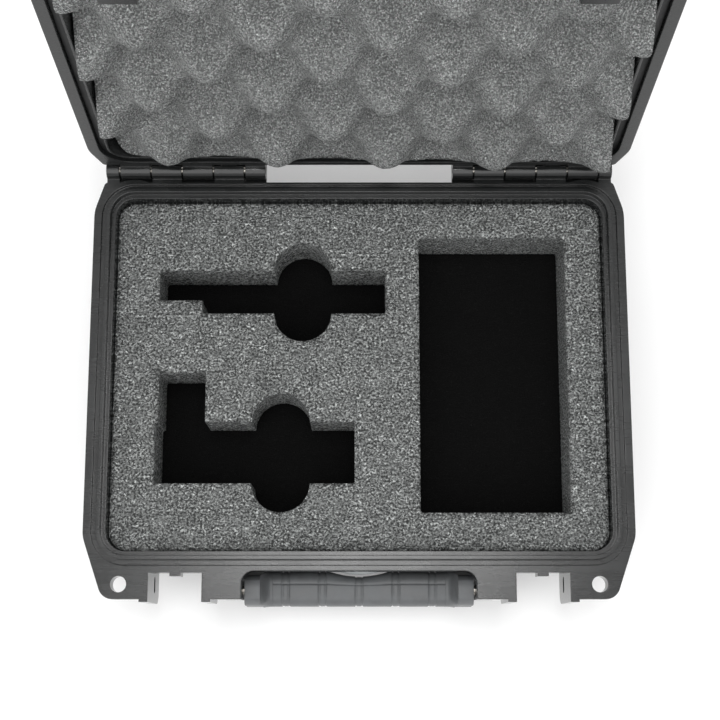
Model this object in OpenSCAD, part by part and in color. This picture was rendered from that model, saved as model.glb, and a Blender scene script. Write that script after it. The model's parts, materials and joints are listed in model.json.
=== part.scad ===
// Sealed hard case for a wireless microphone set, standing open.
//
// A moulded base and lid, hinged at the back, hold a cut foam inlay and a wavy lid foam.
// Two trigger latches hang on the lid and hook under catch bars in the base; a padded carry
// handle folds flat between the latches.
//
// Origin: centre of the rest face under the base. X to the right, Y to the back, Z up.
// Lid pieces are drawn closed and then swung open about the hinge axis.

/* [Case body] */
// Width over the side rims
body_w = 244; // [220:1:280]
// Radius of the rim's back corners
corner_back = 18; // [10:1:22]
// Radius of the rim's front corners
corner_front = 14; // [8:1:18]
// Height of the base from the rest face to the parting plane
base_h = 59; // [54:1:90]
// Height of the closed lid above the parting plane
lid_h = 40; // [36:1:60]
// Angle of the lid from closed
lid_open = 98; // [60:1:110]
// Wall of the base tub and lid tub
wall_t = 3; // [2:0.1:4]
// Floor of the tubs
floor_t = 3.5; // [2.5:0.1:4.5]
// Height of the stacking feet and lid ridges
foot_h = 4.5; // [2:0.5:6]
// Outer radius of the tubs' lower corners
tub_round = 7; // [4:0.5:9]
// Width of the outer ridge on the lid
ridge_w = 200; // [180:1:204]
// Depth of the outer ridge on the lid
ridge_d = 134; // [120:1:138]
// Corner radius of the outer ridge
ridge_r = 16; // [12:1:20]
// Width of the inner ridge on the lid
inner_ridge_w = 104; // [80:1:110]
// Depth of the inner ridge on the lid
inner_ridge_d = 50; // [40:1:56]
// Corner radius of the inner ridge
inner_ridge_r = 12; // [8:1:14]
// Thickness of the ridges
ridge_t = 5; // [3:0.5:6]
// Clearance between the feet of one case and the ridges of another
stack_gap = 1; // [0.5:0.1:2]
// Width of an outer foot
foot_w = 40; // [30:1:42]
// Depth of an outer foot
foot_d = 33; // [24:1:34]

/* [Rim and seal] */
// Width of the rim at the sides
rim_side = 9.8; // [9:0.1:14]
// Width of the rim at the back
rim_back = 7.4; // [6.5:0.1:10]
// Space inside the rim from front to back
cavity_d = 162; // [150:0.5:166]
// Corner radius of that space
cavity_r = 9; // [6:0.5:14]
// From the front and back of that space to the ends of the straight sides
side_end = 6.3; // [4:0.1:10]
// Draft of the tub walls in degrees
draft = 1.2; // [0.5:0.1:2]
// Thickness of the rim flange
flange_t = 4; // [3:0.1:5]
// Height of the skirt that hangs from the flange
skirt_h = 10; // [7:0.5:12]
// Wall of the skirt
skirt_t = 2.6; // [2:0.1:3]
// From the inside edge of the rim to the sealing tongue
tongue_in = 2; // [1.8:0.1:2.4]
// Width of the sealing tongue
tongue_w = 1.9; // [1.5:0.1:2.4]
// Height of the sealing tongue above the parting plane
tongue_h = 2.2; // [1.5:0.1:2.6]
// Depth of the steps on both sides of the tongue
step_d = 1.2; // [0.6:0.1:1.6]
// Width of the outer step beside the tongue
step_w = 2.4; // [1.5:0.1:2.5]
// Width of the gasket groove in the lid
groove_w = 3.6; // [3.2:0.1:4]
// Depth of the gasket groove in the lid
groove_d = 5.4; // [4.8:0.1:6]

/* [Front ears] */
// Reach of the ears in front of the space inside the rim
ear_reach = 21; // [19:0.5:26]
// Inset of the ears' front corners from the sides of the case
ear_inset = 9.4; // [6:0.2:12]
// Radius of the ears' front corners
ear_r = 6.5; // [4:0.5:8]
// Padlock hole
padlock_d = 7.1; // [6:0.1:8]
// Padlock hole, from the side of the case
padlock_side = 16.4; // [15:0.1:18]
// Padlock hole, behind the front of the ears
padlock_back = 6.5; // [5.5:0.1:8]
// Thickness of the boss round the padlock hole
padlock_boss = 8; // [5:0.5:10]
// Middle of a latch notch, from the side of the case
notch_side = 41.2; // [39:0.1:44]
// Width of a latch notch
notch_w = 23.6; // [20:0.1:26]
// Width of the rim behind a latch notch
notch_rim = 9.5; // [8:0.1:11]
// Depth of the notch walls below the parting plane
notch_h = 36; // [30:1:46]
// Width of the locating nib in a notch
nib_w = 4.8; // [3:0.1:6]
// Reach of the locating nib
nib_out = 1.5; // [0.8:0.1:2]
// Thickness of the walls beside a notch
ear_wall = 3.8; // [3:0.1:4]
// Width of an inner ear, between a latch notch and the handle recess
inner_ear_w = 17.2; // [16:0.2:21]
// Width of the rim behind the handle recess
recess_rim = 8.7; // [8:0.1:10]
// Corner radius of the handle recess
recess_r = 5.6; // [3:0.1:7]

/* [Hinge] */
// Hinge axis behind the rim
hinge_out = 5.6; // [5:0.1:8]
// Outer diameter of the hinge knuckles
knuckle_d = 7.8; // [7:0.1:8.6]
// Hinge pin
hinge_pin_d = 3; // [2:0.1:4]
// Gap between neighbouring knuckles
knuckle_gap = 0.7; // [0.5:0.1:1]
// Length of one knuckle with its gap
knuckle_pitch = 14.4; // [13:0.1:14.8]
// Width of a hinge bank
hinge_bank = 73.4; // [66:0.1:76]
// End of a hinge bank, from the side of the case
hinge_side = 5.4; // [5:0.1:8]

/* [Latches] */
// Pivot of a latch above the parting plane
latch_pivot_h = 19; // [16:0.5:22]
// Pivot of a latch behind its front
latch_pivot_back = 8; // [7:0.1:9]
// Latch pin
latch_pin_d = 3; // [2.5:0.1:3.5]
// Clearance between a latch and the walls beside it
latch_gap = 0.5; // [0.3:0.1:1]
// Front of a closed latch in front of the ears
latch_proud = 2.4; // [1.5:0.1:4]
// Thickness of the latch's front plate
latch_t = 3; // [2.4:0.1:3.4]
// Lower end of a closed latch, below the parting plane
latch_drop = 31; // [28:0.5:34]
// Radius of the latch round its pivot
latch_eye_r = 6; // [5:0.1:6.5]
// Width of the release trigger
trigger_w = 13; // [10:0.5:15]
// Trigger pivot below the parting plane
trigger_pivot_h = 6; // [5:0.5:8]
// Trigger pivot behind the front of the latch
trigger_pivot_back = 3.8; // [3.4:0.1:4.2]
// Trigger pin
trigger_pin_d = 2.4; // [2:0.1:2.6]
// Catch bar below the parting plane
catch_h = 22; // [21.5:0.5:24]
// Catch bar in front of the tub wall
catch_out = 3.6; // [3.4:0.1:3.8]
// Catch bar
catch_d = 3.4; // [2.6:0.1:3.6]

/* [Handle] */
// Handle pivot below the parting plane
handle_pivot_h = 18; // [17:0.5:22]
// Handle pivot behind the front of the ears
handle_pivot_back = 4.6; // [4:0.1:6]
// Handle pivot pin
handle_pin_d = 4; // [3:0.1:5]
// Clearance between the handle and the ears beside it
handle_gap = 0.6; // [0.3:0.1:1.5]
// Length of the handle pins in the inner ears
handle_pin_seat = 7; // [5:0.1:8]
// Wall round a handle pin
handle_pin_wall = 3; // [2:0.1:3.4]
// Width of a handle arm
handle_arm_w = 7; // [5:0.5:9]
// From the handle pivot down to the middle of the grip
handle_reach = 18; // [15:0.5:18]
// Depth of the grip from front to back
grip_d = 14.2; // [12:0.2:14.4]
// Height of the grip
grip_h = 19; // [14:0.5:20]
// Corner radius of the grip
grip_r = 6; // [4:0.5:7]
// Thickness of the grip's rubber
grip_wall = 3; // [2:0.1:4]
// Spacing of the grooves round the grip
groove_pitch = 16.8; // [12:0.2:20]
// Number of grooves round the grip
groove_n = 5; // [1:2:5]
// Width of a groove round the grip
groove_gap = 2.4; // [1:0.1:3]
// Depth of a groove round the grip
groove_cut = 0.7; // [0.3:0.1:1]

/* [Foam] */
// Depth of the foam's face below the parting plane
foam_low = 7; // [6:0.5:12]
// Thickness of the soft pad under the cut foam
pad_t = 15; // [8:0.5:18]
// Clearance between the foam and the walls
foam_gap = 0.3; // [0.1:0.1:1]
// Margin left of the pocket for the pocket transmitter
pack_left = 20.2; // [14:0.1:26]
// Margin behind that pocket
pack_back = 32.6; // [28:0.1:36]
// Length of that pocket
pack_len = 104.3; // [90:0.1:110]
// Width of that pocket
pack_w = 20.5; // [16:0.1:24]
// Length of its narrower left part
pack_step_len = 19.7; // [14:0.1:26]
// Step in its front edge there
pack_step_in = 6.2; // [3:0.1:9]
// Middle of its finger slot, from its left end
pack_slot = 66; // [50:0.5:76]
// Margin left of the pocket for the plug-on receiver
plug_left = 19.7; // [14:0.1:26]
// Margin in front of that pocket
plug_front = 30.6; // [28:0.1:36]
// Length of that pocket
plug_len = 90.5; // [80:0.1:100]
// Width of that pocket
plug_w = 28; // [22:0.1:32]
// Inset of the bay for its round nose
nose_in = 1.3; // [0.5:0.1:4]
// Width of that bay
nose_w = 21.3; // [16:0.1:26]
// Length of that bay
nose_len = 22.7; // [16:0.1:26]
// Middle of its finger slot, from its left end
plug_slot = 57.1; // [48:0.1:66]
// Margin right of the pocket for cables
cable_right = 17.2; // [12:0.1:24]
// Width of that pocket
cable_w = 67.4; // [58:0.1:72]
// Margin in front of that pocket
cable_front = 17.4; // [12:0.1:24]
// Margin behind that pocket
cable_back = 17.1; // [12:0.1:24]
// Width of the finger slots
slot_w = 26.4; // [20:0.2:30]
// Reach of a finger slot beyond the pocket
slot_reach = 13; // [12:0.2:15]
// Pitch of the waves in the lid foam
wave_pitch = 50; // [40:1:60]
// Height of the waves in the lid foam
wave_h = 20; // [10:0.5:22]
// Reach of the wave crests below the closed lid
wave_out = 5; // [0:0.5:5.5]
// Shift of the wave pattern to the right
wave_x = -13.4; // [-25:0.1:25]
// Shift of the wave pattern to the back
wave_y = -7; // [-25:0.5:25]

/* [Pressure valve] */
// Diameter of the valve's face
valve_d = 25; // [20:0.5:26]
// Reach of the valve's face in front of the wall
valve_out = 6.2; // [5:0.1:6.4]
// Crown of the valve's domed face
valve_crown = 2.3; // [1:0.1:2.6]
// Diameter of the valve's stem
valve_stem_d = 12; // [8:0.5:14]
// Middle of the valve below the parting plane
valve_h = 24; // [23.5:0.5:28]

/* [Hidden] */
$fn = 48;
soft_fn = 32;
running = 0.05;
part_gap = 0.15;

plastic = [0.17, 0.18, 0.18];
rubber = [0.24, 0.25, 0.25];
grey_foam = [0.42, 0.42, 0.43];
black_foam = [0.06, 0.06, 0.06];
steel = [0.72, 0.72, 0.70];
seal_black = [0.10, 0.10, 0.10];

left = -1;
right = 1;
rim = base_h;
half_w = body_w / 2;
cavity_w = body_w - 2 * rim_side;
body_back = cavity_d / 2 + rim_back;
ear_front = cavity_d / 2 + ear_reach;
ear_half = half_w - ear_inset;
padlock_x = half_w - padlock_side;
padlock_y = ear_front - padlock_back;
notch_x = half_w - notch_side;
notch_back = cavity_d / 2 + notch_rim;
recess_back = cavity_d / 2 + recess_rim;
recess_w = 2 * (notch_x - notch_w / 2 - inner_ear_w);
hinge_y = body_back + hinge_out;
hinge_end = half_w - hinge_side;
hinge_clear = 2 * (hinge_end - hinge_bank);
latch_front = ear_front + latch_proud;
latch_pivot_y = latch_front - latch_pivot_back;
trigger_pivot_y = latch_front - trigger_pivot_back;
handle_pivot_y = ear_front - handle_pivot_back;
tub_floor = foot_h + floor_t;
foam_top = rim - foam_low;
foam_bottom = tub_floor + pad_t;
lid_roof = rim + lid_h - foot_h - floor_t;
front_wall = cavity_d / 2 + wall_t;
catch_y = front_wall + catch_out;
pack_x = [pack_left - cavity_w / 2, pack_left - cavity_w / 2 + pack_len];
pack_y = [cavity_d / 2 - pack_back - pack_w, cavity_d / 2 - pack_back];
pack_step = [pack_x[0] + pack_step_len, pack_y[0] + pack_step_in];
plug_x = [plug_left - cavity_w / 2, plug_left - cavity_w / 2 + plug_len];
plug_y = [plug_front - cavity_d / 2, plug_front - cavity_d / 2 + plug_w];
nose_x = [plug_x[0] + nose_in, plug_x[0] + nose_in + nose_w];
nose_y = [plug_y[1] - 1, plug_y[1] + nose_len];
cable_x = [cavity_w / 2 - cable_right - cable_w, cavity_w / 2 - cable_right];
cable_y = [cable_front - cavity_d / 2, cavity_d / 2 - cable_back];
notch_in = notch_x - notch_w / 2;
notch_out = notch_x + notch_w / 2;
wall_front = ear_front + 1.2;
tongue_out = tongue_in + tongue_w;
groove_in = tongue_in + (tongue_w - groove_w) / 2;
band_in = tongue_out + step_w;
base_top = rim - part_gap;
lid_bottom = rim + part_gap;

// ---------- shapes shared by several pieces ----------

// A rectangle about the origin with round corners
module rounded_rect(w, d, r) {
  square([w - 2 * r, d], center = true);
  square([w, d - 2 * r], center = true);
  for (x = [-1, 1], y = [-1, 1])
    translate([x * (w / 2 - r), y * (d / 2 - r)]) circle(r);
}

// The inside edge of the rim, grown outwards by grow
module rim_loop(grow) {
  rounded_rect(cavity_w + 2 * grow, cavity_d + 2 * grow, cavity_r + grow);
}

// A band of the rim between two distances from its inside edge
module rim_band(from, to) {
  difference() {
    rim_loop(to);
    rim_loop(from);
  }
}

function unit(v) = v / norm(v);

// A convex outline, counter-clockwise, with its own radius at each corner
module round_cornered(pts, radii) {
  n = len(pts);
  fillets = [for (i = [0:n - 1])
    let (a = unit(pts[(i + n - 1) % n] - pts[i]), b = unit(pts[(i + 1) % n] - pts[i]),
         half = acos(a * b) / 2)
    [pts[i] + a * radii[i] / tan(half), pts[i] + b * radii[i] / tan(half),
     pts[i] + unit(a + b) * radii[i] / sin(half), radii[i]]];
  polygon([for (f = fillets) each [f[0], f[1]]]);
  for (f = fillets) translate(f[2]) circle(f[3]);
}

// Outline of the rim with its ears, drawn in by inset
module rim_outline(inset = 0) {
  lean = 0.8 * inset;
  side = [
    [ear_half - lean, -ear_front + inset], [half_w - inset, side_end - cavity_d / 2],
    [half_w - inset, cavity_d / 2 - side_end], [hinge_end + 0.8 - lean, body_back - inset]
  ];
  turned = [for (i = [3:-1:0]) [-side[i][0], side[i][1]]];
  round_cornered(concat(side, turned),
    [ear_r - lean, corner_front, corner_back, 2, 2, corner_back, corner_front, ear_r - lean]);
}

// Notches for the latches and the recess for the handle, grown by grow
module front_cuts(grow = 0) {
  far = 2 * ear_front;
  for (s = [left, right])
    translate([s * notch_x - notch_w / 2 - grow, -far])
      square([notch_w + 2 * grow, far - notch_back + grow]);
  w = recess_w + 2 * grow;
  r = recess_r + grow;
  back = -recess_back + grow;
  translate([-w / 2 + r, back - far]) square([w - 2 * r, far]);
  translate([-w / 2, back - far]) square([w, far - r]);
  for (s = [left, right]) translate([s * (w / 2 - r), back - r]) circle(r);
}

// The flange seen from above
module flange_2d(inset = 0) {
  difference() {
    rim_outline(inset);
    front_cuts(inset);
  }
}

// A flange plate with the skirt along its edge; the skirt hangs down
module flange_and_skirt() {
  translate([0, 0, -flange_t]) linear_extrude(flange_t) flange_2d();
  translate([0, 0, -skirt_h]) linear_extrude(skirt_h)
    difference() {
      flange_2d();
      flange_2d(skirt_t);
    }
}

// The inside edge of the rim as points at height z, grown outwards by grow
function loop_points(grow, z) =
  let (r = cavity_r + grow, x = cavity_w / 2 - cavity_r, y = cavity_d / 2 - cavity_r)
  [for (q = [0:3], i = [0:soft_fn / 4])
    let (a = 90 * q + 360 * i / soft_fn)
    [(q == 0 || q == 3 ? x : -x) + r * cos(a), (q < 2 ? y : -y) + r * sin(a), z]];

// A solid through loops of equally many points, from the lowest loop to the highest
module loft(loops) {
  n = len(loops[0]);
  m = len(loops);
  polyhedron([for (l = loops) each l], concat(
    [[for (i = [0:n - 1]) i], [for (i = [n - 1:-1:0]) (m - 1) * n + i]],
    [for (k = [0:m - 2], i = [0:n - 1]) let (j = (i + 1) % n)
      [k * n + i, (k + 1) * n + i, (k + 1) * n + j, k * n + j]]));
}

// A tub with drafted walls from z = 0 (its mouth) down to depth, rounded below
module tub_block(grow, depth, round_r) {
  loft(concat(
    [for (a = [0:22.5:90]) let (z = -depth + round_r * (1 - cos(a)))
      loop_points(grow - round_r * (1 - sin(a)) + z * tan(draft), z)],
    [loop_points(grow, 0)]));
}

// The space in a tub, or foam that fills it, between two depths below the mouth
module tub_space(gap, top, bottom) {
  loft([for (z = [-bottom, -top]) loop_points(-gap + z * tan(draft), z)]);
}

// A bar along X between two stations
module x_bar(x0, x1, d) {
  translate([min(x0, x1), 0, 0]) rotate([0, 90, 0]) cylinder(h = abs(x1 - x0), d = d);
}

// A plate across X from a profile drawn in (Y, Z)
module x_plate(x0, x1) {
  translate([min(x0, x1), 0, 0]) rotate([90, 0, 90]) linear_extrude(abs(x1 - x0)) children();
}

module open_lid() {
  translate([0, hinge_y, rim]) rotate([-lid_open, 0, 0]) translate([0, -hinge_y, -rim])
    children();
}

// Turns the flange or tub over, so that it stands above the parting plane
module above_rim() {
  translate([0, 0, lid_bottom]) mirror([0, 0, 1]) children();
}

// ---------- hinge ----------

function knuckle_edge(k) = hinge_clear / 2 + knuckle_pitch * (k + 0.67);
// Stations of knuckle k; even ones belong to the base and odd ones to the lid
function knuckle_span(k) = [
  k < 0 ? hinge_clear / 2 : knuckle_edge(k) + knuckle_gap / 2,
  k > 3 ? hinge_end : knuckle_edge(k + 1) - knuckle_gap / 2
];

// Knuckles of one half, joined to its flange; up is 1 for the lid and -1 for the base
module knuckles(first, up) {
  r = knuckle_d / 2;
  for (s = [left, right], k = [first:2:4]) {
    span = knuckle_span(k);
    x_plate(s * span[0], s * span[1]) {
      translate([hinge_y, rim]) circle(r);
      translate([body_back - skirt_t / 2, up > 0 ? lid_bottom : rim - r])
        square([hinge_y - body_back + skirt_t / 2, r - part_gap]);
    }
  }
}

// Windows at the ends of the base knuckles, where the pin shows
module knuckle_windows() {
  r = knuckle_d / 2;
  for (s = [left, right], k = [0, 2, 4], e = [0, 1])
    if (e == 0 || k < 4) {
      x = knuckle_span(k)[e];
      translate([s * x - 3.2, hinge_y + 0.8, rim - r]) cube([6.4, r + 1, 2 * r + 1]);
    }
}

module hinge_bore() {
  for (s = [left, right])
    translate([0, hinge_y, rim])
      x_bar(s * (hinge_clear / 2 - 1), s * (hinge_end + 1), hinge_pin_d + 2 * running);
}

module hinge_pin(side) {
  color(steel) translate([0, hinge_y, rim])
    x_bar(side * (hinge_clear / 2 + 0.6), side * (hinge_end - 0.4), hinge_pin_d);
}

// ---------- base ----------

// Profile of a notch wall in (Y, Z), with its lower front corner rounded
module notch_wall_2d() {
  r = 5;
  low = rim - notch_h;
  polygon([[-front_wall + 1, base_top], [-wall_front, base_top], [-wall_front, low + r],
           [-wall_front + r, low], [-front_wall + 1, low]]);
  translate([-wall_front + r, low + r]) circle(r);
}

// Slot in a wall beside a notch, in (Y, Z)
module wall_slot_2d() {
  half = 1.8;
  front = wall_front - 4.6 - half;
  back = notch_back + 0.7 + half;
  translate([-front, rim - catch_h - half]) square([front - back, 2 * half]);
  for (y = [-front, -back]) translate([y, rim - catch_h]) circle(half, $fn = $fn / 2);
}

// Walls beside a notch, and the box of the inner ear that carries the handle
module front_ears() {
  for (s = [left, right]) {
    x_plate(s * notch_out, s * (notch_out + ear_wall)) notch_wall_2d();
    x_plate(s * (notch_in - ear_wall), s * notch_in) notch_wall_2d();
    translate([s > 0 ? recess_w / 2 : -notch_in + ear_wall / 2, -ear_front + 0.8, rim - notch_h + 1])
      cube([notch_in - ear_wall / 2 - recess_w / 2, skirt_t, notch_h - flange_t]);
    translate([s > 0 ? recess_w / 2 : -recess_w / 2 - skirt_t, -ear_front + 0.8, rim - notch_h + 1])
      cube([skirt_t, ear_front - front_wall + 0.5, notch_h - flange_t]);
    translate([0, -handle_pivot_y, rim - handle_pivot_h])
      x_bar(s * recess_w / 2, s * (recess_w / 2 + handle_pin_seat + 1), handle_pin_d + 5);
    translate([s * padlock_x, -padlock_y, base_top - padlock_boss])
      cylinder(h = padlock_boss, d = padlock_d + 6);
  }
}

// Feet under the base; they stand between the ridges of a lid below
module feet() {
  in = ridge_t + stack_gap;
  linear_extrude(foot_h + 1) {
    rounded_rect(inner_ridge_w - 2 * in, inner_ridge_d - 2 * in, inner_ridge_r - in);
    for (x = [-1, 1], y = [-1, 1])
      translate([x * (ridge_w / 2 - in - foot_w / 2), y * (ridge_d / 2 - in - foot_d / 2)])
        rounded_rect(foot_w, foot_d, ridge_r - in - 2);
  }
}

// Upright ribs that carry the flange at the sides and the back
module side_ribs() {
  rib = 3;
  reach = 3.6;
  pitch = cavity_d / 4;
  in = hinge_clear / 4;
  for (s = [left, right], y = [-pitch, 0, pitch])
    translate([s * (cavity_w / 2 + wall_t) - reach, y - rib / 2, foot_h + tub_round + 2])
      cube([2 * reach, rib, rim - foot_h - tub_round - 3]);
  for (x = [in - half_w, -in, in, half_w - in])
    translate([x - rib / 2, front_wall - 2 * reach + 3, foot_h + tub_round + 2])
      cube([rib, 2 * reach, rim - foot_h - tub_round - 3]);
}

module base_shell() color(plastic) difference() {
  union() {
    translate([0, 0, base_top]) {
      tub_block(wall_t, base_top - foot_h, tub_round);
      flange_and_skirt();
    }
    translate([0, 0, rim - flange_t / 2]) linear_extrude(tongue_h + flange_t / 2)
      rim_band(tongue_in, tongue_out);
    front_ears();
    feet();
    side_ribs();
    knuckles(0, -1);
    // locating nib at the back of each notch
    for (s = [left, right])
      translate([s * notch_x - nib_w / 2, -notch_back - nib_out, rim - skirt_h])
        cube([nib_w, nib_out + skirt_t / 2, skirt_h - part_gap]);
    // boss behind the valve
    translate([0, -front_wall, rim - valve_h]) rotate([90, 0, 0])
      translate([0, 0, -1.5]) cylinder(h = 1.9, d = valve_d);
  }
  translate([0, 0, rim]) tub_space(0, -1, rim - tub_floor);
  translate([0, 0, base_top - step_d]) linear_extrude(2 * step_d) rim_band(-1, tongue_in);
  translate([0, 0, base_top - step_d]) linear_extrude(2 * step_d) rim_band(tongue_out, band_in);
  hinge_bore();
  knuckle_windows();
  for (s = [left, right]) {
    translate([s * padlock_x, -padlock_y, rim - 2 * padlock_boss])
      cylinder(h = 3 * padlock_boss, d = padlock_d);
    translate([0, -catch_y, rim - catch_h])
      x_bar(s * (notch_in - ear_wall - 1), s * (notch_out + ear_wall - 0.8), catch_d + 2 * running);
    translate([0, -handle_pivot_y, rim - handle_pivot_h])
      x_bar(s * (recess_w / 2 - 1), s * (recess_w / 2 + handle_pin_seat), handle_pin_d + 2 * running);
    // round-ended slots in the walls beside the notch
    for (x = [s * (notch_in - ear_wall / 2), s * (notch_out + ear_wall / 2)])
      x_plate(x - ear_wall, x + ear_wall) wall_slot_2d();
  }
  translate([0, -front_wall + wall_t + 3, rim - valve_h]) rotate([90, 0, 0])
    cylinder(h = wall_t + 8, d = valve_stem_d + 2 * running);
}

module catch_bar(side) {
  color(steel) translate([0, -catch_y, rim - catch_h])
    x_bar(side * (notch_in - ear_wall), side * (notch_out + ear_wall - 1), catch_d);
}

module handle_pin(side) {
  color(steel) translate([0, -handle_pivot_y, rim - handle_pivot_h])
    x_bar(side * (recess_w / 2 - handle_gap - handle_arm_w + 1),
          side * (recess_w / 2 + handle_pin_seat - 0.1), handle_pin_d);
}

// ---------- foam ----------

// A finger slot: a pocket's edges in Y, lengthened at both ends by round reaches
module finger_slot(x, edges) {
  r = slot_w / 2;
  low = edges[0] - slot_reach + r;
  high = edges[1] + slot_reach - r;
  translate([x - r, low]) square([slot_w, high - low]);
  for (y = [low, high]) translate([x, y]) circle(r);
}

module box_2d(x, y) {
  translate([x[0], y[0]]) square([x[1] - x[0], y[1] - y[0]]);
}

module pockets_2d() {
  box_2d([pack_step[0], pack_x[1]], pack_y);
  box_2d([pack_x[0], pack_step[0] + 1], [pack_step[1], pack_y[1]]);
  finger_slot(pack_x[0] + pack_slot, pack_y);
  box_2d(plug_x, plug_y);
  box_2d(nose_x, nose_y);
  finger_slot(plug_x[0] + plug_slot, plug_y);
  box_2d(cable_x, cable_y);
}

module base_foam() color(grey_foam) difference() {
  translate([0, 0, rim]) tub_space(foam_gap, foam_low, rim - foam_bottom);
  translate([0, 0, foam_bottom - 1]) linear_extrude(rim) pockets_2d();
}

module base_foam_pad() color(black_foam)
  translate([0, 0, rim]) tub_space(foam_gap, rim - foam_bottom, rim - tub_floor);

// Lower surface of the lid foam, crests and hollows on a diagonal grid
function wave(x, y) =
  let (k = 180 / (wave_pitch / 2), c = cos(k * (x - wave_x)) * cos(k * (y - wave_y)))
  rim - wave_out + wave_h / 2 * (1 - c);

// A point of a rectangle, moved into the round corner of radius r that it lies in
function rounded_in(x, y, w, d, r) =
  let (a = abs(x) - w / 2 + r, b = abs(y) - d / 2 + r)
  a <= 0 || b <= 0 ? [x, y]
  : let (k = max(a, b) / norm([a, b])) [sign(x) * (w / 2 - r + a * k), sign(y) * (d / 2 - r + b * k)];

module lid_foam() color(grey_foam) open_lid() {
  side_gap = foam_gap + (lid_roof - rim) * tan(draft);
  w = cavity_w - 2 * side_gap;
  d = cavity_d - 2 * side_gap;
  nx = 37;
  ny = 27;
  grid = [for (j = [0:ny - 1], i = [0:nx - 1])
    let (p = rounded_in((i / (nx - 1) - 0.5) * w, (j / (ny - 1) - 0.5) * d, w, d, cavity_r))
    [p[0], p[1], wave(p[0], p[1])]];
  loop = concat(
    [for (i = [0:nx - 2]) i], [for (j = [0:ny - 2]) j * nx + nx - 1],
    [for (i = [nx - 1:-1:1]) (ny - 1) * nx + i], [for (j = [ny - 1:-1:1]) j * nx]);
  n = len(loop);
  top = [for (i = loop) [grid[i][0], grid[i][1], lid_roof]];
  base = nx * ny;
  polyhedron(concat(grid, top), concat(
    [for (j = [0:ny - 2], i = [0:nx - 2]) let (a = j * nx + i)
      each [[a, a + 1, a + nx + 1], [a, a + nx + 1, a + nx]]],
    [for (m = [0:n - 1]) let (q = (m + 1) % n)
      each [[loop[m], base + m, base + q], [loop[m], base + q, loop[q]]]],
    [[for (m = [n - 1:-1:0]) base + m]]));
}

// ---------- lid ----------

// Ears beside a notch that carry the latch pin
module latch_ears() {
  z = rim + latch_pivot_h;
  r = latch_eye_r + 1;
  for (s = [left, right], x = [notch_in - ear_wall, notch_out])
    x_plate(s * x, s * (x + ear_wall)) {
      translate([-latch_pivot_y, z]) circle(r);
      polygon([[-wall_front, lid_bottom], [-front_wall + 2, lid_bottom], [-front_wall + 2, z + r],
               [-latch_pivot_y, z + r], [-latch_pivot_y - r, z]]);
    }
}

// A ridge round the middle of the lid
module ridge_ring(w, d, r) {
  difference() {
    rounded_rect(w, d, r);
    rounded_rect(w - 2 * ridge_t, d - 2 * ridge_t, r - ridge_t);
  }
}

// Stacking ridges on top of the lid: two rings with cross ridges between them
module lid_ridges() {
  cross_x = 0.3 * inner_ridge_w;
  linear_extrude(foot_h + 1) {
    ridge_ring(ridge_w, ridge_d, ridge_r);
    ridge_ring(inner_ridge_w, inner_ridge_d, inner_ridge_r);
    for (s = [left, right]) {
      span = (ridge_w - inner_ridge_w) / 2 - ridge_t;
      translate([s * (inner_ridge_w + span) / 2, 0]) square([span + 1, ridge_t], center = true);
    }
    for (x = [-cross_x, cross_x], s = [-1, 1]) {
      span = (ridge_d - inner_ridge_d) / 2 - ridge_t;
      translate([x, s * (inner_ridge_d + span) / 2]) square([ridge_t, span + 1], center = true);
    }
  }
}

module lid_shell() color(plastic) open_lid() difference() {
  union() {
    above_rim() {
      tub_block(wall_t, lid_h - foot_h, tub_round);
      flange_and_skirt();
    }
    translate([0, 0, rim + lid_h - foot_h - 1]) lid_ridges();
    // channel that holds the gasket
    translate([0, 0, lid_bottom]) linear_extrude(groove_d + 2.4) rim_band(-0.2, groove_in + groove_w + 2);
    latch_ears();
    knuckles(-1, 1);
    for (s = [left, right])
      translate([s * padlock_x, -padlock_y, lid_bottom]) cylinder(h = padlock_boss, d = padlock_d + 6);
  }
  translate([0, 0, rim]) mirror([0, 0, 1]) tub_space(0, -1, lid_roof - rim);
  translate([0, 0, lid_bottom - 1]) linear_extrude(groove_d + 1)
    rim_band(groove_in, groove_in + groove_w);
  hinge_bore();
  for (s = [left, right]) {
    translate([s * padlock_x, -padlock_y, rim - padlock_boss])
      cylinder(h = 3 * padlock_boss, d = padlock_d);
    translate([0, -latch_pivot_y, rim + latch_pivot_h])
      x_bar(s * (notch_in - ear_wall - 1), s * (notch_out + ear_wall - 0.8), latch_pin_d + 2 * running);
  }
}

module gasket() color(seal_black) open_lid()
  translate([0, 0, rim + tongue_h + 0.3]) linear_extrude(lid_bottom + groove_d - rim - tongue_h - 0.3)
    rim_band(groove_in + 0.1, groove_in + groove_w - 0.1);

module latch_pin(side) {
  color(steel) open_lid() translate([0, -latch_pivot_y, rim + latch_pivot_h])
    x_bar(side * (notch_in - ear_wall + 0.2), side * (notch_out + ear_wall - 1), latch_pin_d);
}

// ---------- latches ----------

plate_back = latch_front - latch_t;
cheek_t = 2.4;
latch_half = notch_w / 2 - latch_gap;
window_half = trigger_w / 2 + 0.4;
trigger_eye_r = 2.5;
window_top = rim - trigger_pivot_h + trigger_eye_r + 0.4;
hook_seat = rim - catch_h - catch_d / 2 - 0.35;
hook_face = -plate_back + 3;
hook_tip = -catch_y + catch_d / 2 + 0.5;
spring_d = trigger_pin_d + 1.8;
spring_leg = 9;

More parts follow.
